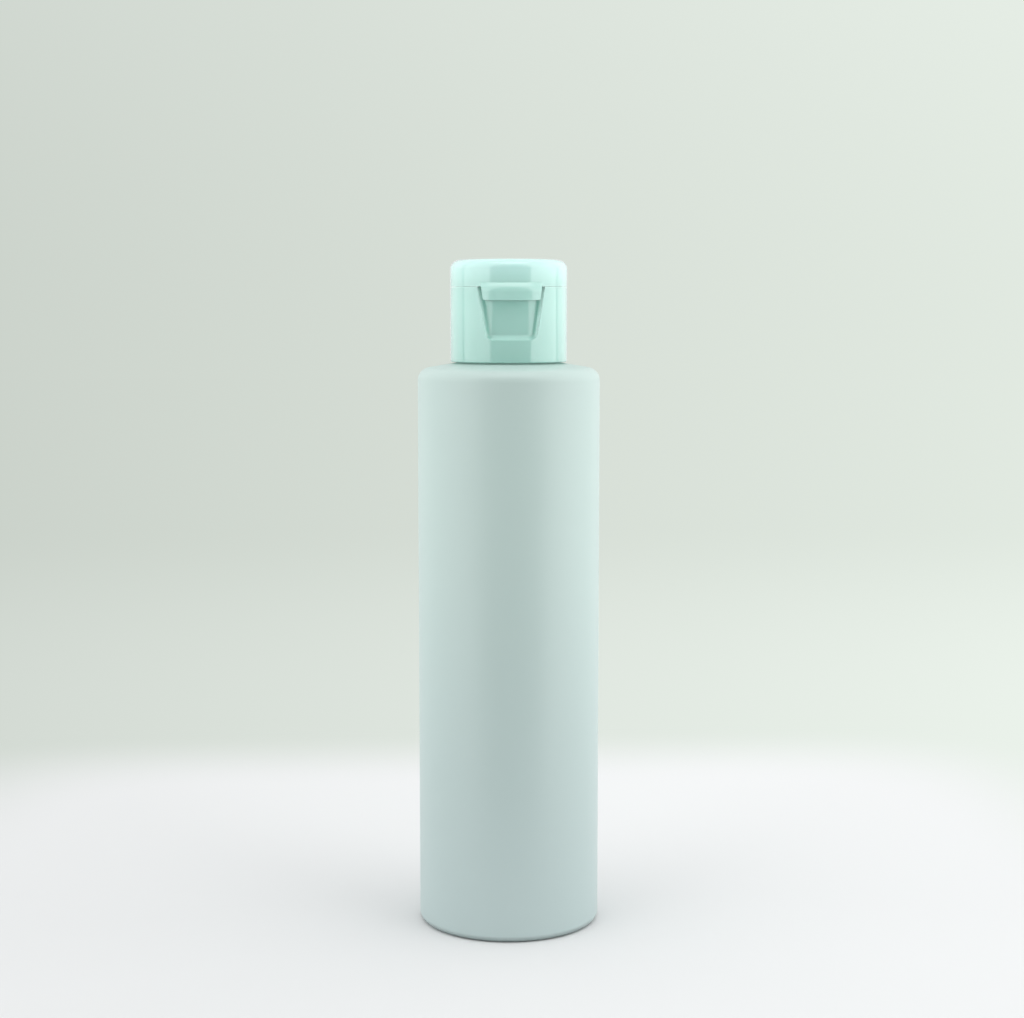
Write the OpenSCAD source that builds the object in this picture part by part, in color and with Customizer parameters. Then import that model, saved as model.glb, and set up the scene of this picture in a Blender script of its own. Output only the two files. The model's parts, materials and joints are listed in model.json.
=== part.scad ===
// Slim cylinder bottle with a smooth flip-top screw closure.
// Origin at the centre of the base, +Z up, thumb tab of the closure towards -Y. Millimetres.

/* [Bottle body] */
// Outside diameter of the body
body_d = 46; // [40:0.5:60]
// Height of the shoulder where it meets the neck
body_h = 143.8; // [80:0.2:220]
// Wall thickness of the blown body
body_wall = 1; // [0.7:0.1:1.6]
// Fall of the shoulder towards its edge, in degrees
shoulder_slope = 9.6; // [4:0.2:20]
// Radius of the shoulder's edge
shoulder_edge_r = 3.3; // [1.8:0.1:5]
// Radius of the bottom edge
base_edge_r = 1.8; // [1.7:0.1:3]
// Width of the ring that the bottle stands on
rest_ring_w = 2.7; // [1.5:0.1:5]
// Rise of the panel inside the resting ring
push_up = 2.2; // [1:0.1:4]
// Length of the pinched seam across the base panel
pinch_l = 24; // [8:1:28]
// Width of the pinched seam
pinch_w = 0.7; // [0.4:0.1:1.5]
// Height of the pinched seam
pinch_t = 0.4; // [0.2:0.1:0.8]

/* [Neck finish] */
// Height of the neck above the shoulder
neck_h = 16.5; // [14:0.1:22]
// Diameter over the thread
thread_d = 23.9; // [20:0.1:28]
// Height of the thread over the neck
thread_h = 1.15; // [1:0.05:1.3]
// Wall thickness of the neck
neck_wall = 2; // [1.5:0.1:3]
// Climb of the thread in one turn
thread_pitch = 3.175; // [3.175:0.025:4]
// Turns of thread on the neck and in the closure
thread_turns = 1.5; // [1:0.25:1.75]
// Width of the neck's thread at its crest
thread_crest_w = 0.7; // [0.5:0.05:0.9]
// Angle of the thread's flanks
thread_flank = 30; // [20:1:32]
// Distance from the rim to the thread
thread_drop = 1.2; // [0.8:0.1:1.8]
// How far the bead at the foot of the neck stays inside the thread's crest
bead_inset = 0.1; // [0:0.05:0.6]
// Height of the bead
bead_h = 1.3; // [0.8:0.1:2]
// Distance from the shoulder to the bead
bead_lift = 1.6; // [1.2:0.1:2.5]

/* [Seal washer] */
// Thickness of the washer
washer_t = 0.9; // [0.6:0.1:1.6]
// Diameter of the washer's hole
washer_hole_d = 12; // [9:0.5:16]
// Gap between the washer and the sleeve around it
washer_gap = 0.25; // [0.1:0.05:0.5]

/* [Closure base] */
// Wall thickness of the outer skirt
skirt_wall = 1; // [0.8:0.05:1.1]
// Room between the skirt and the threaded sleeve
skirt_room = 0.75; // [0.7:0.05:1.2]
// Gap between the skirt and the shoulder
skirt_gap = 0.5; // [0.3:0.1:1]
// Wall thickness of the threaded sleeve
sleeve_wall = 0.85; // [0.7:0.05:1]
// How far the sleeve ends above the skirt
sleeve_lift = 1.5; // [0.5:0.1:4]
// Thickness of the deck over the washer
deck_t = 1.1; // [0.9:0.1:1.6]
// Radial room between the threads and the walls that face them
thread_room = 0.2; // [0.15:0.05:0.3]
// Depth of thread in the closure
thread_depth = 0.95; // [0.6:0.05:1.05]
// Room above the closure's thread, towards the neck's
thread_play = 0.2; // [0.1:0.05:0.4]
// Width of the closure's thread at its crest
catch_crest_w = 0.75; // [0.5:0.05:0.8]
// Wall thickness of the nozzle
nozzle_wall = 1.3; // [1:0.1:2]
// Height of the nozzle above the deck
nozzle_h = 2.6; // [2:0.1:3.2]
// Diameter of the pouring hole
orifice_d = 3.8; // [3:0.1:4.2]
// Height of the ring that centres the lid
locating_h = 1; // [0.6:0.1:1.6]
// Wall thickness of the ring that centres the lid
locating_wall = 0.8; // [0.6:0.1:1.2]
// Room between the ring and the lid
locating_gap = 0.4; // [0.3:0.05:0.6]

/* [Thumb recess and tab] */
// Width of the recess at the parting line
recess_top_w = 16.6; // [14:0.1:18]
// Width of the recess at its foot
recess_foot_w = 12.4; // [10:0.1:13.8]
// Height of the recess
recess_h = 13.1; // [11:0.1:15]
// Depth of the recess
recess_depth = 1.6; // [1.4:0.05:1.7]
// Height of the slope at the foot of the recess
recess_ramp = 1; // [0.5:0.1:2]
// Radius of the recess's lower corners
recess_corner_r = 2; // [1:0.1:3]
// Wall around the recess
recess_wall = 1; // [0.8:0.1:1.4]
// Drop of the tab below the parting line
tab_drop = 3.35; // [2.5:0.05:5]
// How far the tab stands proud of the lid
tab_proud = 1; // [0.6:0.05:1.2]
// Height of the slope on top of the tab, above the parting line
tab_rise = 0.95; // [0.6:0.05:1.5]
// How far that slope runs on below the parting line
tab_brow = 0.5; // [0.3:0.05:0.7]
// Radius between the slope and the tab's face
tab_edge_r = 3.2; // [1:0.1:3.6]
// Gap at each side of the tab
tab_gap = 0.7; // [0.4:0.05:1]
// Gap behind the tab
tab_float = 0.35; // [0.25:0.05:0.5]
// Radius of the tab's lower corners
tab_corner_r = 0.6; // [0.5:0.1:1.1]

/* [Lid] */
// Height of the lid above the parting line
lid_h = 6.8; // [6:0.1:9]
// Thickness of the lid's top
lid_top_t = 1.2; // [0.9:0.1:1.6]
// Radius of the lid's top edge
lid_edge_r = 2.45; // [1.6:0.05:2.6]
// Gap at the parting line
part_gap = 0.05; // [0.04:0.01:0.3]
// Chamfer of both edges at the parting line
part_chamfer = 0.07; // [0.05:0.01:0.3]
// Depth of the plug in the nozzle
plug_depth = 1.3; // [0.8:0.1:1.5]
// Room around the plug at the nozzle's mouth
plug_gap = 0.25; // [0.2:0.05:0.4]
// Taper of the plug, on its radius
plug_taper = 0.35; // [0.2:0.05:0.5]
// Diameter of the plug's root
plug_root_d = 5; // [4.4:0.1:6]

/* [Hinge at the back] */
// How far the hinge lies inside the closure's outside
hinge_inset = 1.2; // [0.9:0.05:1.4]
// Height of the flat below the parting line
hinge_flat_low = 4.9; // [4:0.1:6]
// Height of the flat above the parting line
hinge_flat_high = 4.3; // [3.6:0.1:4.3]
// Thickness of the wall behind the flat
hinge_pad_t = 1.2; // [1:0.1:1.6]
// Radius of the two film hinges
film_r = 0.3; // [0.2:0.05:0.4]
// Length of each film hinge
film_l = 2.4; // [1.6:0.1:2.6]
// Room around the film hinges
film_gap = 0.15; // [0.1:0.05:0.25]
// Width of the snap strap
strap_w = 4.4; // [3:0.1:5]
// Thickness of the snap strap
strap_t = 0.5; // [0.3:0.05:0.7]
// Height of each end of the strap
strap_foot_h = 1.3; // [0.8:0.1:1.8]
// Gap behind the strap
strap_gap = 0.35; // [0.3:0.05:0.45]
// Gap between the strap and the flat's ends
strap_end_gap = 0.4; // [0.2:0.05:0.8]

/* [Hidden] */
$fn = 120;
BOTTLE = [0.78, 0.86, 0.84];
CLOSURE = [0.66, 0.93, 0.87];
WASHER = [0.95, 0.95, 0.93];

body_r = body_d / 2;
thread_r = thread_d / 2;
neck_r = thread_r - thread_h;
bore_r = neck_r - neck_wall;
bead_r = thread_r - bead_inset;
sleeve_in_r = thread_r + thread_room;
sleeve_r = sleeve_in_r + sleeve_wall;
skirt_in_r = sleeve_r + skirt_room;
cap_r = skirt_in_r + skirt_wall;
fall = tan(shoulder_slope);
rim_z = body_h + neck_h;
under_deck_z = rim_z + washer_t;
part_z = under_deck_z + deck_t;
deck_top_z = part_z - part_gap / 2;
lid_foot_z = part_z + part_gap / 2;
lid_top_z = part_z + lid_h;
lid_ceiling_z = lid_top_z - lid_top_t;
skirt_foot_z = shoulder_z(cap_r) + skirt_gap;
recess_floor_r = cap_r - recess_depth;
recess_foot_z = part_z - recess_h;
lid_in_r = recess_floor_r + tab_float;
lid_wall = cap_r - lid_in_r;
tab_r = cap_r + tab_proud;
tab_foot_z = part_z - tab_drop;
nozzle_top_z = deck_top_z + nozzle_h;
orifice_r = orifice_d / 2;
nozzle_r = orifice_r + nozzle_wall;
hinge_y = cap_r - hinge_inset;
hinge_half_w = sqrt(cap_r * cap_r - hinge_y * hinge_y);
strap_y = hinge_y + strap_gap;
thread_root_w = thread_crest_w + 2 * thread_h * tan(thread_flank);
catch_root_w = catch_crest_w + 2 * thread_depth * tan(thread_flank);
catch_r = sleeve_in_r - thread_depth;
// Middle of the neck's thread at its upper end
thread_top_z = rim_z - thread_drop - thread_root_w / 2;
thread_foot_z = thread_top_z - thread_pitch * thread_turns;
// Half widths of the two ridges at the closure's crest, plus the play between them
catch_below = thread_root_w / 2 - (catch_r - neck_r) * tan(thread_flank) + catch_crest_w / 2 + thread_play;
// Radii and chamfers of small edges
panel_edge_r = 1.2;
rest_edge_r = 1;
inside_edge_r = 1.5;
neck_foot_r = 0.8;
bead_edge_r = 0.4;
bead_flank = 0.3;
rim_r = 0.5;
washer_edge_r = 0.15;
skirt_foot_r = 0.3;
sleeve_mouth_r = 0.3;
ring_chamfer = 0.25;
recess_edge_r = 0.8;
nozzle_foot_r = 0.6;
nozzle_lip_r = 0.5;
nozzle_draft = 0.2;
orifice_flare = 0.8;
orifice_edge_r = 0.25;
plug_tip_r = 0.3;
plug_foot_r = 0.15;
plug_join_r = 0.2;
plug_clear = 0.3;
strap_edge_r = 0.25;
// How far cutting shapes run past what they cut
past = 1;
// How far the piece that rounds a corner runs past the outline
corner_lap = 0.05;
// How far the circle of that piece reaches past the outline, so that the two cross cleanly
corner_cross = 0.001;

function shoulder_z(r) = body_h - (r - neck_r) * fall;
function unit(v) = v / norm(v);
function cross2(a, b) = a[0] * b[1] - a[1] * b[0];
function at(p, i) = [p[i % len(p)][0], p[i % len(p)][1]];
function turn(p, i) = cross2(at(p, i) - at(p, i + len(p) - 1), at(p, i + 1) - at(p, i));
// Half the recess's width at a height
function recess_half_w(z) = recess_foot_w / 2
    + (recess_top_w - recess_foot_w) / 2 * (z - recess_foot_z) / recess_h;

// What a radius takes off, or fills in, at the corner c between the points a and b.
// The piece runs a little past the outline, so that no thin leaf is left along it.
module corner_piece(a, c, b, r) {
    u = unit(a - c);
    v = unit(b - c);
    half = acos(u * v) / 2;
    reach = r / tan(half);
    middle = c + unit(u + v) * r / sin(half);
    spread = 1 + corner_lap / r;
    difference() {
        polygon([for (p = [c, c + u * reach, middle, c + v * reach]) middle + (p - middle) * spread]);
        translate(middle) circle(r + corner_cross);
    }
}

// A closed outline of [x, y, corner radius] points, listed counter-clockwise
module outline(p) {
    n = len(p);
    difference() {
        union() {
            polygon([for (i = [0:n - 1]) at(p, i)]);
            for (i = [0:n - 1]) {
                if (p[i][2] > 0 && turn(p, i) < 0)
                    corner_piece(at(p, i + n - 1), at(p, i), at(p, i + 1), p[i][2]);
            }
        }
        for (i = [0:n - 1]) {
            if (p[i][2] > 0 && turn(p, i) > 0)
                corner_piece(at(p, i + n - 1), at(p, i), at(p, i + 1), p[i][2]);
        }
    }
}

// A turned shape, from its [radius, height, corner radius] points
module turned(p) {
    rotate_extrude() outline(p);
}

// A ring between two radii and two heights
module ring(in_r, out_r, low_z, high_z) {
    turned([[in_r, low_z, 0], [out_r, low_z, 0], [out_r, high_z, 0], [in_r, high_z, 0]]);
}

// An outline in x and z, pushed from the axis towards the front
module pushed_front(p, reach) {
    rotate([90, 0, 0]) linear_extrude(reach) outline(p);
}

// A right-hand ridge along a helix, which sinks into its wall at both ends
module helix_ridge(wall_r, crest_r, wall_w, crest_w, foot_z) {
    steps = ceil(thread_turns * 40);
    run_out = 5;
    sunk = 0.3;
    out = sign(crest_r - wall_r);
    function height(i) = min(1, min(i, steps - i) / run_out * 1.2 - 0.2);
    function section(i) = [
        [wall_r - out * sunk, -wall_w / 2],
        [wall_r + (crest_r - wall_r) * height(i), -crest_w / 2],
        [wall_r + (crest_r - wall_r) * height(i), crest_w / 2],
        [wall_r - out * sunk, wall_w / 2]
    ];
    function placed(s, i) = let (a = 360 * thread_turns * i / steps)
        [s[0] * cos(a), s[0] * sin(a), foot_z + thread_pitch * thread_turns * i / steps + s[1]];
    order = out > 0 ? [0, 1, 2, 3] : [3, 2, 1, 0];
    polyhedron(
        points = [for (i = [0:steps]) for (k = order) placed(section(i)[k], i)],
        faces = concat(
            [[3, 2, 1, 0]],
            [for (i = [0:steps - 1]) for (k = [0:3])
                [4 * i + k, 4 * i + (k + 1) % 4, 4 * i + 4 + (k + 1) % 4, 4 * i + 4 + k]],
            [[for (k = [0:3]) 4 * steps + k]]
        )
    );
}

// Blown bottle: body, shoulder, threaded neck and pushed-up base, one wall all round
module bottle() {
    rest_in_r = body_r - base_edge_r - rest_ring_w;
    panel_r = rest_in_r - push_up;
    in_r = body_r - body_wall;
    ceiling_z = body_h - body_wall / cos(shoulder_slope);
    bead_z = body_h + bead_lift;
    color(BOTTLE) union() {
        difference() {
            turned([
                [0, push_up, 0],
                [panel_r, push_up, panel_edge_r],
                [rest_in_r, 0, rest_edge_r],
                [body_r, 0, base_edge_r],
                [body_r, shoulder_z(body_r), shoulder_edge_r],
                [neck_r, body_h, neck_foot_r],
                [neck_r, bead_z, 0],
                [bead_r, bead_z + bead_flank, bead_edge_r],
                [bead_r, bead_z + bead_h, bead_edge_r],
                [neck_r, bead_z + bead_h + bead_flank, 0],
                [neck_r, rim_z, rim_r],
                [0, rim_z, 0]
            ]);
            turned([
                [0, push_up + body_wall, 0],
                [panel_r + body_wall * 0.4, push_up + body_wall, inside_edge_r],
                [rest_in_r + body_wall * 0.4, body_wall, rest_edge_r * 0.6],
                [in_r, body_wall, base_edge_r - body_wall * 0.6],
                [in_r, ceiling_z - (in_r - neck_r) * fall, shoulder_edge_r - body_wall],
                [bore_r, ceiling_z - (bore_r - neck_r) * fall, inside_edge_r],
                [bore_r, rim_z + past, 0],
                [0, rim_z + past, 0]
            ]);
        }
        helix_ridge(neck_r, thread_r, thread_root_w, thread_crest_w, thread_foot_z);
        translate([-pinch_l / 2, -pinch_w / 2, push_up - pinch_t])
            cube([pinch_l, pinch_w, pinch_t + body_wall / 2]);
    }
}

// Soft ring that seals the deck against the neck's rim
module seal_washer() {
    color(WASHER) turned([
        [washer_hole_d / 2, rim_z, 0],
        [sleeve_in_r - washer_gap, rim_z, washer_edge_r],
        [sleeve_in_r - washer_gap, under_deck_z, washer_edge_r],
        [washer_hole_d / 2, under_deck_z, 0]
    ]);
}

// Room for the thumb: flared sides, a round floor and a slope up to the skirt at its foot
module thumb_recess() {
    slope = (recess_top_w - recess_foot_w) / 2 / recess_h;
    over = part_z + past;
    intersection() {
        pushed_front([
            [-recess_foot_w / 2, recess_foot_z, recess_corner_r],
            [recess_foot_w / 2, recess_foot_z, recess_corner_r],
            [recess_half_w(over), over, 0],
            [-recess_half_w(over), over, 0]
        ], cap_r + 2 * past);
        turned([
            [recess_floor_r, recess_foot_z + recess_ramp, recess_edge_r],
            [cap_r, recess_foot_z, 0],
            [cap_r + past, recess_foot_z - past * recess_ramp / recess_depth, 0],
            [cap_r + past, over, 0],
            [recess_floor_r, over, 0]
        ]);
    }
}

// Solid wall behind and beside the recess, between the sleeve and the skirt
module recess_backing() {
    low = recess_foot_z - recess_wall;
    intersection() {
        pushed_front([
            [-recess_foot_w / 2 - recess_wall, low, recess_corner_r],
            [recess_foot_w / 2 + recess_wall, low, recess_corner_r],
            [recess_top_w / 2 + recess_wall, deck_top_z - deck_t / 2, 0],
            [-recess_top_w / 2 - recess_wall, deck_top_z - deck_t / 2, 0]
        ], cap_r);
        ring(sleeve_r - sleeve_wall / 2, skirt_in_r + skirt_wall / 2, low, part_z);
    }
}

// Flat cut across the back of the closure, where the hinge lies
module hinge_flat() {
    translate([-hinge_half_w - past, hinge_y, part_z - hinge_flat_low])
        cube([2 * (hinge_half_w + past), cap_r, hinge_flat_low + hinge_flat_high]);
}

// The two film hinges, as bars on the hinge line
module film_bars(r) {
    gap = (2 * hinge_half_w - strap_w - 2 * film_l) / 4;
    for (side = [-1, 1])
        translate([side * (strap_w / 2 + gap + film_l / 2), hinge_y, part_z])
            rotate([0, 90, 0]) cylinder(h = film_l, r = r, center = true);
}

// Screw part of the closure: skirt, threaded sleeve, deck, nozzle and thumb recess
module closure_base() {
    sleeve_foot_z = skirt_foot_z + sleeve_lift;
    ring_r = lid_in_r - locating_gap;
    pad_w = 2 * hinge_half_w;
    color(CLOSURE) difference() {
        union() {
            difference() {
                turned([
                    [0, skirt_foot_z, 0],
                    [cap_r, skirt_foot_z, skirt_foot_r],
                    [cap_r, deck_top_z - part_chamfer, 0],
                    [cap_r - part_chamfer, deck_top_z, 0],
                    [ring_r, deck_top_z, 0],
                    [ring_r, deck_top_z + locating_h - ring_chamfer, 0],
                    [ring_r - ring_chamfer, deck_top_z + locating_h, 0],
                    [ring_r - locating_wall, deck_top_z + locating_h, 0],
                    [ring_r - locating_wall, deck_top_z, 0],
                    [nozzle_r, deck_top_z, nozzle_foot_r],
                    [nozzle_r - nozzle_draft, nozzle_top_z, nozzle_lip_r],
                    [0, nozzle_top_z, 0]
                ]);
                ring(sleeve_r, skirt_in_r, skirt_foot_z - past, under_deck_z);
                turned([
                    [0, skirt_foot_z - past, 0],
                    [sleeve_r + past / 4, skirt_foot_z - past, 0],
                    [sleeve_r + past / 4, sleeve_foot_z, 0],
                    [sleeve_in_r, sleeve_foot_z, sleeve_mouth_r],
                    [sleeve_in_r, under_deck_z, 0],
                    [0, under_deck_z, 0]
                ]);
            }
            recess_backing();
            intersection() {
                translate([-pad_w / 2, hinge_y - hinge_pad_t, part_z - hinge_flat_low - hinge_pad_t])
                    cube([pad_w, 2 * hinge_pad_t, hinge_flat_low + hinge_pad_t - deck_t / 2]);
                ring(sleeve_r - sleeve_wall / 2, skirt_in_r + skirt_wall / 2, skirt_foot_z, part_z);
            }
            helix_ridge(sleeve_in_r, catch_r, catch_root_w, catch_crest_w, thread_foot_z - catch_below);
        }
        turned([
            [0, under_deck_z - past, 0],
            [orifice_r + orifice_flare, under_deck_z - past, 0],
            [orifice_r + orifice_flare, under_deck_z, 0],
            [orifice_r, under_deck_z + deck_t, 0],
            [orifice_r, nozzle_top_z, orifice_edge_r],
            [orifice_r + past, nozzle_top_z, 0],
            [orifice_r + past, nozzle_top_z + past, 0],
            [0, nozzle_top_z + past, 0]
        ]);
        thumb_recess();
        hinge_flat();
        // Gap in the centring ring, for the lid's wall at the hinge
        translate([-pad_w / 2 - locating_gap, 0, deck_top_z])
            cube([pad_w + 2 * locating_gap, cap_r, locating_h + past]);
    }
    color(CLOSURE) film_bars(film_r);
}

// Thin strap that snaps the lid open and shut
module hinge_strap() {
    low = part_z - hinge_flat_low + strap_end_gap;
    high = part_z + hinge_flat_high - strap_end_gap;
    color(CLOSURE) translate([strap_w / 2, 0, 0]) rotate([90, 0, -90]) linear_extrude(strap_w)
        mirror([1, 0]) outline([
            [hinge_y, low, 0],
            [strap_y + strap_t, low, strap_edge_r],
            [strap_y + strap_t, high, strap_edge_r],
            [hinge_y, high, 0],
            [hinge_y, high - strap_foot_h, 0],
            [strap_y, high - strap_foot_h, 0],
            [strap_y, low + strap_foot_h, 0],
            [hinge_y, low + strap_foot_h, 0]
        ]);
}

// Thumb tab: a proud lip with flared sides that hangs into the recess
module thumb_tab() {
    top_z = part_z + tab_rise;
    half_top = recess_half_w(top_z) - tab_gap;
    half_foot = recess_half_w(tab_foot_z) - tab_gap;
    inner = lid_in_r - past;
    // Where the slope ends, inside the lid's wall
    sunk_r = cap_r - lid_wall / 2;
    sunk_z = top_z + (tab_rise + tab_brow) / tab_proud * lid_wall / 2;
    intersection() {
        pushed_front([
            [-half_foot, tab_foot_z, tab_corner_r],
            [half_foot, tab_foot_z, tab_corner_r],
            [half_top, top_z + past, 0],
            [-half_top, top_z + past, 0]
        ], tab_r + past);
        turned([
            [inner, tab_foot_z, 0],
            [tab_r, tab_foot_z, 0],
            [tab_r, part_z - tab_brow, tab_edge_r],
            [sunk_r, sunk_z, 0],
            [inner, sunk_z, 0]
        ]);
    }
}

// Hinged lid, with its thumb tab and the plug that closes the nozzle
module flip_lid() {
    mouth_r = orifice_r - plug_gap;
    shoulder = nozzle_top_z + plug_clear;
    color(CLOSURE) difference() {
        union() {
            difference() {
                union() {
                    turned([
                        [0, lid_foot_z, 0],
                        [cap_r - part_chamfer, lid_foot_z, 0],
                        [cap_r, lid_foot_z + part_chamfer, 0],
                        [cap_r, lid_top_z, lid_edge_r],
                        [0, lid_top_z, 0]
                    ]);
                    thumb_tab();
                }
                turned([
                    [0, tab_foot_z - past, 0],
                    [lid_in_r, tab_foot_z - past, 0],
                    [lid_in_r, lid_ceiling_z, lid_edge_r - lid_top_t],
                    [0, lid_ceiling_z, 0]
                ]);
            }
            intersection() {
                translate([-hinge_half_w, hinge_y - hinge_pad_t, lid_foot_z])
                    cube([2 * hinge_half_w, 2 * hinge_pad_t, lid_ceiling_z - lid_foot_z + lid_top_t / 2]);
                cylinder(h = lid_ceiling_z + lid_top_t / 2, r = lid_in_r + lid_wall / 2);
            }
            turned([
                [0, nozzle_top_z - plug_depth, 0],
                [mouth_r - plug_taper, nozzle_top_z - plug_depth, plug_tip_r],
                [mouth_r, nozzle_top_z, 0],
                [mouth_r, shoulder, plug_foot_r],
                [plug_root_d / 2, shoulder, plug_join_r],
                [plug_root_d / 2, lid_ceiling_z, 0],
                [plug_root_d / 2, lid_ceiling_z + lid_top_t / 2, 0],
                [0, lid_ceiling_z + lid_top_t / 2, 0]
            ]);
        }
        hinge_flat();
        film_bars(film_r + film_gap);
    }
}

bottle();
seal_washer();
closure_base();
hinge_strap();
flip_lid();
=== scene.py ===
import json
import math

import bmesh
import bpy
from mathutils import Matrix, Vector


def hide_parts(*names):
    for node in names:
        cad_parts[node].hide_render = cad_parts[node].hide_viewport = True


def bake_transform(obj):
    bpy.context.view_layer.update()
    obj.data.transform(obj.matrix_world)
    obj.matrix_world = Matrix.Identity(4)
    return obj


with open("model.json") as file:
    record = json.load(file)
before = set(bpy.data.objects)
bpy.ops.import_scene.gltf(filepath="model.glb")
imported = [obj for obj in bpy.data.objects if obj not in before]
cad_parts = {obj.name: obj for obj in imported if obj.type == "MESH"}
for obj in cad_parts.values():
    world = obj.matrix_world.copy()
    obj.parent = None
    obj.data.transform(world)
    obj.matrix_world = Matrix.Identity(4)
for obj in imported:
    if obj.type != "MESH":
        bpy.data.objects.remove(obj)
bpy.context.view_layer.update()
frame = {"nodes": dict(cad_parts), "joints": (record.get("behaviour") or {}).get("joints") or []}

MM = 0.001

# Camera, as fitted to the photograph
FRAME_WIDTH = 1024
FOCAL_PX = 1879.6
SENSOR = 36.0
CAMERA_AZIMUTH = math.radians(-3.0)
CAMERA_PITCH = math.radians(6.01)
CAMERA_DISTANCE = 476.1 * MM
CAMERA_HEIGHT = 156.3 * MM
CAMERA_ASIDE = 0.83 * MM

# Light tent round the bottle: its walls, and its top, which takes over from this share of the height
TENT_TINT = (1.0, 0.995, 1.0)
TENT_LEFT = 1.65
TENT_RIGHT = 1.95
TENT_TOP = 1.0
TOP_FROM = 0.3

# Walls beyond the creases, and straight behind the bottle
BEHIND_SHARE = 0.66
BEHIND_SOFT = 0.03
TENT_BACK = 0.78
BACK_FROM = math.radians(125)
BACK_TO = math.radians(165)

# Creases between the tent's walls, which fade out upwards
CREASES = (math.radians(-102.5), math.radians(106))
CREASE_HALF = math.radians(3.2)
CREASE_DEPTH = 1.0
CREASE_FADE = 0.7

# Brighter panel high in front, a little brighter to the right
PANEL_LIGHT = 2.2
PANEL_TILT = 0.07
PANEL_LOW = math.radians(52)
PANEL_HIGH = math.radians(88)
PANEL_HALF = math.radians(60)
PANEL_SOFT_LOW = 0.12
PANEL_SOFT_HIGH = math.radians(8)
PANEL_SOFT_SIDE = 0.3

# Dim opening in front, with round upper corners
OPENING_MIDDLE = math.radians(0.8)
OPENING_HALF = math.radians(40)
OPENING_TOP = math.radians(50)
OPENING_ROUND = 2.8
OPENING_EDGE = (0.88, 1.14)
OPENING_LIGHT = 0.21

# Where the floor ends for all but the camera, in front and at the sides
TENT_MOUTH = 0.12
TENT_SIDE = 0.32
TENT_EDGE = 0.01

# Pale sweep that the bottle stands on, with painted light: its floor is lighter to the right, and its wall
# is darker far off and lighter to the right
SWEEP_NEAR = 0.137
SWEEP_FAR = 0.215
SWEEP_DEEP = 0.9
SWEEP_RADIUS = 4.0
FLOOR_COLOUR = (0.75, 0.765, 0.765)
FLOOR_LEFT_SHADE = 0.96
FLOOR_RIGHT_LIGHT = 1.05
FLOOR_REACH = 0.16
WALL_LOW = (0.735, 0.79, 0.735)
WALL_HIGH = (0.665, 0.72, 0.662)
WALL_SIDE = 0.42
WALL_REACH = 0.35

# Colours of the plastics, with painted light and shade: the body's foot and base edge and the closure's
# skirt foot are painted darker, the lid is painted lighter, and narrow places, the line between base and lid
# and the gap under the closure are painted lighter with a glow of their own that stands for light through
# the milky plastic
BODY_COLOUR = (0.54, 0.685, 0.645)
BODY_FOOT_SHADE_COLOUR = (0.485, 0.595, 0.59)
FOOT_EDGE_SHADE = 0.7
SKIRT_FOOT_SHADE_COLOUR = (0.415, 0.70, 0.625)
CLOSURE_COLOUR = (0.475, 0.80, 0.715)
LID_LIGHT_COLOUR = (0.62, 0.98, 0.90)
PAINTED_LIGHT_COLOUR = (0.76, 0.96, 0.91)
CREVICE_FROM = 0.75
CREVICE_TO = 0.35
CREVICE_REACH = 1.3 * MM
CREVICE_LIGHT = 0.16
LINE_LIGHT = 0.14
GAP_LIGHT = 0.07
FOAM_COLOUR = (0.84, 0.84, 0.80)

# The closure's sizes that the finishes follow
CLOSURE_RADIUS = 14.75 * MM
LID_TOP_RADIUS = 13.0 * MM
PARTING_Z = 162.3 * MM

# Hinge pieces at the back, in millimetres from the hinge line or, for widths, from the middle
STRAP_BELOW = 4.5
STRAP_ABOVE = 3.9
STRAP_HALF = 2.2
STRAP_SUNK = 0.01
STRAP_OFF = 0.36
STRAP_DEEP = 0.85
STRAP_FOOT = 1.3
STRAP_END_R = 0.25
STRAP_THIN = 0.15
STRAP_EDGE_R = 0.1
STRAP_STEPS = 84
WEB_NEAR = 2.81
WEB_FAR = 5.21
WEB_HALF_T = 0.08
WEB_HALF_H = 0.42
WEB_EDGE_R = 0.06
WEB_STEPS = 20
CORNER_STEPS = 4


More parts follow.
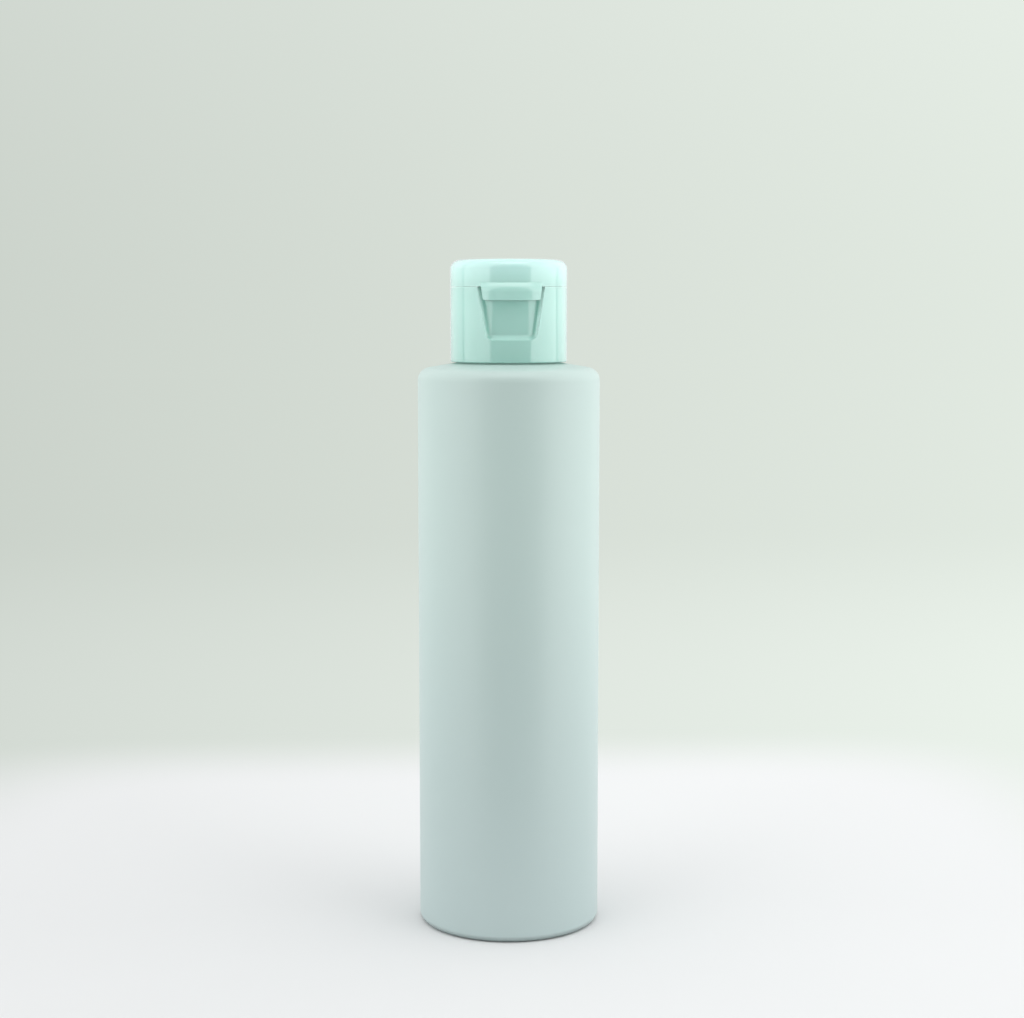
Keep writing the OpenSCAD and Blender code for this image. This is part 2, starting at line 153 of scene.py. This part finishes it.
class Graph:
    """Short names for building a node tree."""

    def __init__(self, tree):
        self.tree = tree
        tree.nodes.clear()

    def node(self, kind, settings=None, **inputs):
        made = self.tree.nodes.new("ShaderNode" + kind)
        for name, value in (settings or {}).items():
            setattr(made, name, value)
        for name, value in inputs.items():
            self.set(made, name.replace("_", " "), value)
        return made

    def set(self, made, name, value):
        socket = made.inputs[int(name)] if name.isdigit() else made.inputs[name]
        if isinstance(value, bpy.types.NodeSocket):
            self.tree.links.new(value, socket)
        else:
            socket.default_value = value

    def math(self, operation, *values):
        made = self.node("Math", {"operation": operation})
        for place, value in enumerate(values):
            self.set(made, str(place), value)
        return made.outputs[0]

    def smooth(self, value, low, high, start=0.0, end=1.0):
        made = self.node(
            "MapRange",
            {"interpolation_type": "SMOOTHSTEP"},
            Value=value, From_Min=low, From_Max=high, To_Min=start, To_Max=end,
        )
        return made.outputs["Result"]

    def mixed(self, kind, sockets, factor, first, second):
        made = self.node("Mix", {"data_type": kind})
        for socket, value in zip(("0", *sockets[:2]), (factor, first, second)):
            self.set(made, socket, value)
        return made.outputs[int(sockets[2])]

    def blend(self, factor, first, second):
        return self.mixed("FLOAT", "230", factor, first, second)

    def blend_vectors(self, factor, first, second):
        return self.mixed("VECTOR", "451", factor, first, second)

    def mix(self, factor, first, second):
        return self.mixed("RGBA", "672", factor, first, second)

    def scale(self, vector, factor):
        return self.node("VectorMath", {"operation": "SCALE"}, Vector=vector, Scale=factor).outputs[0]

    def split(self, vector):
        return self.node("SeparateXYZ", Vector=vector).outputs

    def noise(self, vector, scale, detail=2.0, roughness=0.5):
        made = self.node("TexNoise", Vector=vector, Scale=scale, Detail=detail, Roughness=roughness)
        return made.outputs["Fac"]

    def from_axis(self, x, y):
        squares = self.math("ADD", self.math("MULTIPLY", x, x), self.math("MULTIPLY", y, y))
        return self.math("SQRT", squares)


def rgba(colour, light=1.0):
    return (*(channel * light for channel in colour), 1.0)


def set_camera():
    """The photograph's camera, looking slightly down at the front."""
    data = bpy.data.cameras.new("camera")
    data.sensor_width = SENSOR
    data.lens = FOCAL_PX * SENSOR / FRAME_WIDTH
    data.clip_start = 0.01
    data.clip_end = 50
    camera = bpy.data.objects.new("camera", data)
    forward = Vector((-math.sin(CAMERA_AZIMUTH), math.cos(CAMERA_AZIMUTH), 0))
    right = Vector((forward.y, -forward.x, 0))
    camera.location = right * CAMERA_ASIDE - forward * CAMERA_DISTANCE + Vector((0, 0, CAMERA_HEIGHT))
    camera.rotation_euler = (math.pi / 2 - CAMERA_PITCH, 0, CAMERA_AZIMUTH)
    bpy.context.scene.collection.objects.link(camera)
    bpy.context.scene.camera = camera


def wall_gradient(graph, x, deep):
    """The sweep's wall, with painted shade and light: darker far off and brighter to the right, where x is a
    share of the distance.
    """
    colour = graph.mix(deep, rgba(WALL_LOW), rgba(WALL_HIGH))
    aside = graph.math("MAXIMUM", graph.math("MINIMUM", x, WALL_REACH), -WALL_REACH)
    return graph.scale(colour, graph.math("MULTIPLY_ADD", aside, WALL_SIDE, 1.0))


def opening_edge(graph, azimuth, height):
    """0 inside the dim opening and 1 outside it."""
    away = graph.math("ABSOLUTE", graph.math("SUBTRACT", azimuth, OPENING_MIDDLE))
    beside = graph.math("POWER", graph.math("DIVIDE", away, OPENING_HALF), OPENING_ROUND)
    share = graph.math("MAXIMUM", graph.math("DIVIDE", height, OPENING_TOP), 0.0)
    above = graph.math("POWER", share, OPENING_ROUND)
    return graph.smooth(graph.math("ADD", beside, above), *OPENING_EDGE)


def panel_share(graph, azimuth, height):
    """1 on the bright panel high in front and 0 beside it."""
    low = graph.smooth(height, PANEL_LOW, PANEL_LOW + PANEL_SOFT_LOW)
    high = graph.smooth(height, PANEL_HIGH, PANEL_HIGH - PANEL_SOFT_HIGH)
    side = graph.smooth(graph.math("ABSOLUTE", azimuth), PANEL_HALF + PANEL_SOFT_SIDE, PANEL_HALF)
    return graph.math("MULTIPLY", graph.math("MULTIPLY", low, high), side)


def tent_light(graph, x, z, azimuth, height):
    """Brightness of the tent's inside without the opening."""
    walls = graph.smooth(x, -1.0, 1.0, TENT_LEFT, TENT_RIGHT)
    behind = graph.math(
        "MAXIMUM",
        graph.smooth(azimuth, CREASES[1], CREASES[1] + BEHIND_SOFT),
        graph.smooth(azimuth, CREASES[0], CREASES[0] - BEHIND_SOFT),
    )
    far_back = graph.smooth(graph.math("ABSOLUTE", azimuth), BACK_FROM, BACK_TO)
    back = graph.blend(far_back, graph.math("MULTIPLY", walls, BEHIND_SHARE), TENT_BACK)
    light = graph.blend(graph.smooth(z, TOP_FROM, 1.0), graph.blend(behind, walls, back), TENT_TOP)
    tilted = graph.smooth(x, -0.4, 0.4, PANEL_LIGHT * (1 - PANEL_TILT), PANEL_LIGHT * (1 + PANEL_TILT))
    light = graph.blend(panel_share(graph, azimuth, height), light, tilted)
    for crease in CREASES:
        gap = graph.math("ABSOLUTE", graph.math("SUBTRACT", azimuth, crease))
        low = graph.smooth(z, TOP_FROM, CREASE_FADE, 1.0 - CREASE_DEPTH, 1.0)
        light = graph.math("MULTIPLY", light, graph.smooth(gap, 0.0, CREASE_HALF, low, 1.0))
    return light


def set_world():
    """Light tent as the surroundings; the camera sees the pale sweep instead."""
    world = bpy.data.worlds.new("tent")
    world.use_nodes = True
    graph = Graph(world.node_tree)
    x, y, z = graph.split(graph.node("TexCoord").outputs["Generated"])
    azimuth = graph.math("ARCTAN2", x, graph.math("MULTIPLY", y, -1.0))
    height = graph.math("ARCSINE", z)
    light = tent_light(graph, x, z, azimuth, height)
    inside = graph.blend(opening_edge(graph, azimuth, height), OPENING_LIGHT, light)
    lit = graph.node("Background", Color=rgba(TENT_TINT), Strength=inside)
    # The camera sees the sweep's wall, with its painted light and shade.
    seen = graph.node("Background", Color=wall_gradient(graph, x, graph.smooth(z, 0.35, -0.02)))
    chosen = graph.node("MixShader")
    graph.set(chosen, "0", graph.node("LightPath").outputs["Is Camera Ray"])
    graph.set(chosen, "1", lit.outputs[0])
    graph.set(chosen, "2", seen.outputs[0])
    graph.node("OutputWorld", Surface=chosen.outputs[0])
    bpy.context.scene.world = world


def floor_material():
    """Matte sweep, painted lighter to the right, that keeps the object's shadow near it and turns into the
    pale wall further off.
    """
    material = bpy.data.materials.new("sweep")
    material.use_nodes = True
    graph = Graph(material.node_tree)
    place = graph.node("TexCoord").outputs["Object"]
    x, y, z = graph.split(place)
    powers = [graph.math("POWER", graph.math("ABSOLUTE", side), 6.0) for side in (x, y)]
    far = graph.math("POWER", graph.math("ADD", *powers), 1 / 6)
    # Painted light: the floor is lighter to the right.
    colour = graph.mix(
        graph.smooth(x, -FLOOR_REACH, FLOOR_REACH),
        rgba(FLOOR_COLOUR, FLOOR_LEFT_SHADE),
        rgba(FLOOR_COLOUR, FLOOR_RIGHT_LIGHT),
    )
    grain = graph.noise(place, 900.0)
    colour = graph.mix(graph.math("MULTIPLY", grain, 0.02), colour, rgba((0.7, 0.7, 0.7)))
    camera_ray = graph.node("LightPath").outputs["Is Camera Ray"]
    outside = graph.math(
        "MAXIMUM",
        graph.smooth(y, -TENT_MOUTH + TENT_EDGE, -TENT_MOUTH - TENT_EDGE),
        graph.smooth(far, TENT_SIDE - TENT_EDGE, TENT_SIDE + TENT_EDGE),
    )
    unseen = graph.math("MULTIPLY", graph.math("SUBTRACT", 1.0, camera_ray), outside)
    matte = graph.node("MixShader")
    graph.set(matte, "0", unseen)
    graph.set(matte, "1", graph.node("BsdfDiffuse", Color=colour).outputs[0])
    graph.set(matte, "2", graph.node("BsdfTransparent").outputs[0])
    aside = graph.math("DIVIDE", x, graph.math("ADD", far, CAMERA_DISTANCE))
    deep = graph.smooth(far, SWEEP_FAR, SWEEP_DEEP)
    wall = graph.node("Emission", Color=wall_gradient(graph, aside, deep))
    chosen = graph.node("MixShader")
    graph.set(chosen, "0", graph.math("MULTIPLY", camera_ray, graph.smooth(far, SWEEP_NEAR, SWEEP_FAR)))
    graph.set(chosen, "1", matte.outputs[0])
    graph.set(chosen, "2", wall.outputs[0])
    graph.node("OutputMaterial", Surface=chosen.outputs[0])
    return material


def add_floor():
    mesh = bpy.data.meshes.new("sweep")
    shape = bmesh.new()
    bmesh.ops.create_circle(shape, cap_ends=True, radius=SWEEP_RADIUS, segments=96)
    shape.to_mesh(mesh)
    shape.free()
    mesh.materials.append(floor_material())
    floor = bpy.data.objects.new("sweep", mesh)
    bpy.context.scene.collection.objects.link(floor)


def plastic(name):
    """A material with its graph and object coordinates."""
    material = bpy.data.materials.new(name)
    material.use_nodes = True
    graph = Graph(material.node_tree)
    return material, graph, graph.node("TexCoord").outputs["Object"]


def finish_plastic(graph, colour, normal, roughness, **fixed):
    shader = graph.node("BsdfPrincipled", Base_Color=colour, Normal=normal, Roughness=roughness, **fixed)
    graph.node("OutputMaterial", Surface=shader.outputs[0])


def body_material():
    """Soft matte body: fine blasted grain, a faint cloudiness and the mould's parting line at both sides,
    with painted shade towards the foot and along the base's edge and a painted glow under the closure.
    """
    material, graph, place = plastic("matte_body")
    x, y, z = graph.split(place)
    # Painted shade: darker towards the foot, and darkest along the base's edge.
    colour = graph.mix(graph.smooth(z, -0.02, 0.13), rgba(BODY_FOOT_SHADE_COLOUR), rgba(BODY_COLOUR, 1.02))
    colour = graph.scale(colour, graph.smooth(z, 0.5 * MM, 2.0 * MM, FOOT_EDGE_SHADE, 1.0))
    cloud = graph.noise(place, 45.0, 3.0)
    colour = graph.mix(graph.math("MULTIPLY", cloud, 0.03), colour, rgba(BODY_COLOUR, 0.5))
    grain = graph.noise(place, 5200.0, 3.0, 0.6)
    line = graph.smooth(graph.math("ABSOLUTE", y), 0.0, 0.18 * MM, 1.0, 0.0)
    height = graph.math("ADD", graph.math("MULTIPLY", grain, 0.4), line)
    bump = graph.node("Bump", Height=height, Strength=0.25, Distance=0.08 * MM)
    # Painted light: a faint glow on the neck and shoulder under the closure lifts the shade in the gap.
    gap_light_share = graph.math(
        "MULTIPLY",
        graph.smooth(graph.from_axis(x, y), CLOSURE_RADIUS, CLOSURE_RADIUS - 1.0 * MM),
        graph.smooth(z, 0.138, 0.140),
    )
    finish_plastic(
        graph, colour, bump.outputs[0], graph.smooth(grain, 0.3, 0.7, 0.38, 0.46),
        IOR=1.5, Specular_IOR_Level=0.75,
        Emission_Color=rgba(PAINTED_LIGHT_COLOUR),
        Emission_Strength=graph.math("MULTIPLY", gap_light_share, GAP_LIGHT),
    )
    return material


def closure_colour(graph, place, radius, z, crevice_light_share):
    """Painted light and shade: darker towards the skirt's foot, lightest round the lid's upper edge and in
    narrow places.
    """
    # Painted shade towards the skirt's foot, and painted light round the lid's upper edge.
    skirt = graph.smooth(z, PARTING_Z - 19 * MM, PARTING_Z - 3 * MM)
    colour = graph.mix(skirt, rgba(SKIRT_FOOT_SHADE_COLOUR), rgba(CLOSURE_COLOUR))
    lid = graph.smooth(z, PARTING_Z - 0.8 * MM, PARTING_Z + 5.5 * MM)
    colour = graph.mix(lid, colour, rgba(LID_LIGHT_COLOUR))
    inner = graph.smooth(radius, LID_TOP_RADIUS, LID_TOP_RADIUS - 1.2 * MM)
    colour = graph.mix(inner, colour, rgba(CLOSURE_COLOUR, 0.96))
    cloud = graph.noise(place, 120.0, 2.0)
    colour = graph.mix(graph.math("MULTIPLY", cloud, 0.03), colour, rgba(CLOSURE_COLOUR, 0.9))
    return graph.mix(crevice_light_share, colour, rgba(PAINTED_LIGHT_COLOUR))


def parting_share(graph, radius, z):
    """1 on the outside close to the line between the closure's base and its lid, and 0 elsewhere."""
    outer = graph.smooth(radius, CLOSURE_RADIUS + 0.06 * MM, CLOSURE_RADIUS + 0.02 * MM)
    inner = graph.smooth(radius, CLOSURE_RADIUS - 0.4 * MM, CLOSURE_RADIUS - 0.3 * MM)
    away = graph.math("ABSOLUTE", graph.math("SUBTRACT", z, PARTING_Z))
    near = graph.smooth(away, 0.26 * MM, 0.16 * MM)
    return graph.math("MULTIPLY", graph.math("MULTIPLY", outer, inner), near)


def closure_material():
    """Polished milky closure: softened edges, slight ripple of the moulding and a clear gloss, with painted
    light in its narrow places and along the line between base and lid.
    """
    material, graph, place = plastic("gloss_closure")
    x, y, z = graph.split(place)
    radius = graph.from_axis(x, y)
    # Painted light: narrow places, found by occlusion, are painted lighter and glow faintly.
    occlusion = graph.node("AmbientOcclusion", {"samples": 8, "only_local": True}, Distance=CREVICE_REACH)
    crevice_light_share = graph.smooth(occlusion.outputs["AO"], CREVICE_FROM, CREVICE_TO)
    colour = closure_colour(graph, place, radius, z, crevice_light_share)
    edge = graph.node("Bevel", {"samples": 6}, Radius=0.14 * MM)
    ripple = graph.noise(place, 160.0, 1.0)
    bump = graph.node("Bump", Height=ripple, Strength=0.25, Distance=0.1 * MM, Normal=edge.outputs[0])
    at_line = parting_share(graph, radius, z)
    outward = graph.node(
        "VectorTransform",
        {"vector_type": "NORMAL", "convert_from": "OBJECT", "convert_to": "WORLD"},
        Vector=graph.node("CombineXYZ", X=x, Y=y).outputs[0],
    )
    normal = graph.blend_vectors(at_line, bump.outputs[0], outward.outputs[0])
    # Painted light: a faint glow lifts the shade in the line between base and lid.
    line_light = graph.math("MULTIPLY", at_line, LINE_LIGHT)
    finish_plastic(
        graph, colour, normal, graph.smooth(graph.noise(place, 700.0), 0.3, 0.7, 0.12, 0.15),
        IOR=1.45, Specular_IOR_Level=0.5, Coat_Weight=1.0, Coat_Roughness=0.04, Coat_IOR=1.55,
        Subsurface_Weight=0.3, Subsurface_Radius=(1.0, 1.0, 1.0), Subsurface_Scale=1.0 * MM,
        Emission_Color=rgba(PAINTED_LIGHT_COLOUR),
        Emission_Strength=graph.math("MULTIPLY_ADD", crevice_light_share, CREVICE_LIGHT, line_light),
    )
    return material


def foam_material():
    """Fine closed foam of the washer."""
    material, graph, place = plastic("foam_washer")
    cells = graph.node("TexVoronoi", Vector=place, Scale=3200.0).outputs["Distance"]
    colour = graph.mix(graph.smooth(cells, 0.0, 0.7), rgba(FOAM_COLOUR, 0.92), rgba(FOAM_COLOUR))
    bump = graph.node("Bump", Height=cells, Strength=0.4, Distance=0.1 * MM)
    finish_plastic(graph, colour, bump.outputs[0], 0.8)
    return material


def dress(name, material):
    """Gives a CAD node its finish, and shading that follows its large faces."""
    node = frame["nodes"][name]
    for held in node.material_slots:
        held.material = material
    weld = node.modifiers.new("weld", "WELD")
    weld.merge_threshold = 0.001 * MM
    split = node.modifiers.new("split", "EDGE_SPLIT")
    split.split_angle = math.radians(28)
    shading = node.modifiers.new("shading", "WEIGHTED_NORMAL")
    shading.keep_sharp = True
    shading.weight = 100


def hinge_line():
    """The point where the lid's hinge axis crosses the middle, in millimetres."""
    joint = next(joint for joint in frame["joints"] if joint["name"] == "lid_hinge")
    return Vector(joint["pos_m"]) / MM


def ease(value):
    """Smooth step from 0 to 1."""
    share = min(max(value, 0.0), 1.0)
    return share * share * (3 - 2 * share)


def round_box(left, right, near, far, radius, z):
    """Points round a box with round corners, all at one height, from sizes in millimetres."""
    points = []
    corners = ((right, far), (left, far), (left, near), (right, near))
    for place, (x, y) in enumerate(corners):
        middle_x = x - math.copysign(radius, x - (left + right) / 2)
        middle_y = y - math.copysign(radius, y - (near + far) / 2)
        for step in range(CORNER_STEPS + 1):
            angle = math.pi / 2 * (place + step / CORNER_STEPS)
            corner = Vector((middle_x + radius * math.cos(angle), middle_y + radius * math.sin(angle), z))
            points.append(corner * MM)
    return points


def closed_tube(name, rings):
    """A closed mesh through rings of points, with as many points in each."""
    mesh = bpy.data.meshes.new(name)
    count = len(rings[0])
    corners = [point for ring in rings for point in ring]
    faces = [tuple(range(count))[::-1], tuple(range(len(corners) - count, len(corners)))]
    for step in range(len(rings) - 1):
        for side in range(count):
            beside = (side + 1) % count
            low, high = step * count, (step + 1) * count
            faces.append((low + side, low + beside, high + beside, high + side))
    mesh.from_pydata(corners, [], faces)
    mesh.update()
    for face in mesh.polygons:
        face.use_smooth = True
    made = bpy.data.objects.new(name, mesh)
    bpy.context.scene.collection.objects.link(made)
    return made


def hinge_piece(name, rings, material):
    """A moulded piece at the hinge line, from so far below it to so far above."""
    made = closed_tube(name, rings)
    made.data.materials.append(material)
    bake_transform(made)
    return made


def strap_ring(line, above):
    """One section of the snap strap, so far above the hinge line."""
    end = min(above + STRAP_BELOW, STRAP_ABOVE - above)
    inside = min(max(end, 0.0), STRAP_END_R)
    cut = STRAP_END_R - math.sqrt(STRAP_END_R ** 2 - (STRAP_END_R - inside) ** 2)
    near = line.y - STRAP_SUNK + STRAP_OFF * ease((end - STRAP_FOOT + 0.15) / 0.35)
    far = line.y + STRAP_DEEP - cut - STRAP_THIN * ease((end - STRAP_FOOT - 0.5) / 1.4)
    half = STRAP_HALF - 0.6 * cut
    return round_box(-half, half, near, far, STRAP_EDGE_R, line.z + above)


def add_strap(material):
    """Snap strap: thick feet on the two flats and a thinner band that stands off them."""
    line = hinge_line()
    length = STRAP_BELOW + STRAP_ABOVE
    heights = [length * step / STRAP_STEPS - STRAP_BELOW for step in range(STRAP_STEPS + 1)]
    strap = hinge_piece("snap_strap", [strap_ring(line, above) for above in heights], material)
    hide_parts("hinge_strap")


def add_webs(material):
    """The thin webs of the two film hinges."""
    line = hinge_line()
    heights = [line.z + WEB_HALF_H * (2 * step / WEB_STEPS - 1) for step in range(WEB_STEPS + 1)]
    for side, left in (("left", -WEB_FAR), ("right", WEB_NEAR)):
        right = left + WEB_FAR - WEB_NEAR
        rings = [round_box(left, right, line.y - WEB_HALF_T, line.y + WEB_HALF_T, WEB_EDGE_R, z)
                 for z in heights]
        hinge_piece("film_web_" + side, rings, material)


set_camera()
set_world()
add_floor()
closure_finish = closure_material()
dress("bottle", body_material())
dress("seal_washer", foam_material())
for name in ("closure_base", "hinge_strap", "flip_lid"):
    dress(name, closure_finish)
add_strap(closure_finish)
add_webs(closure_finish)

bpy.context.scene.view_settings.view_transform = "Standard"
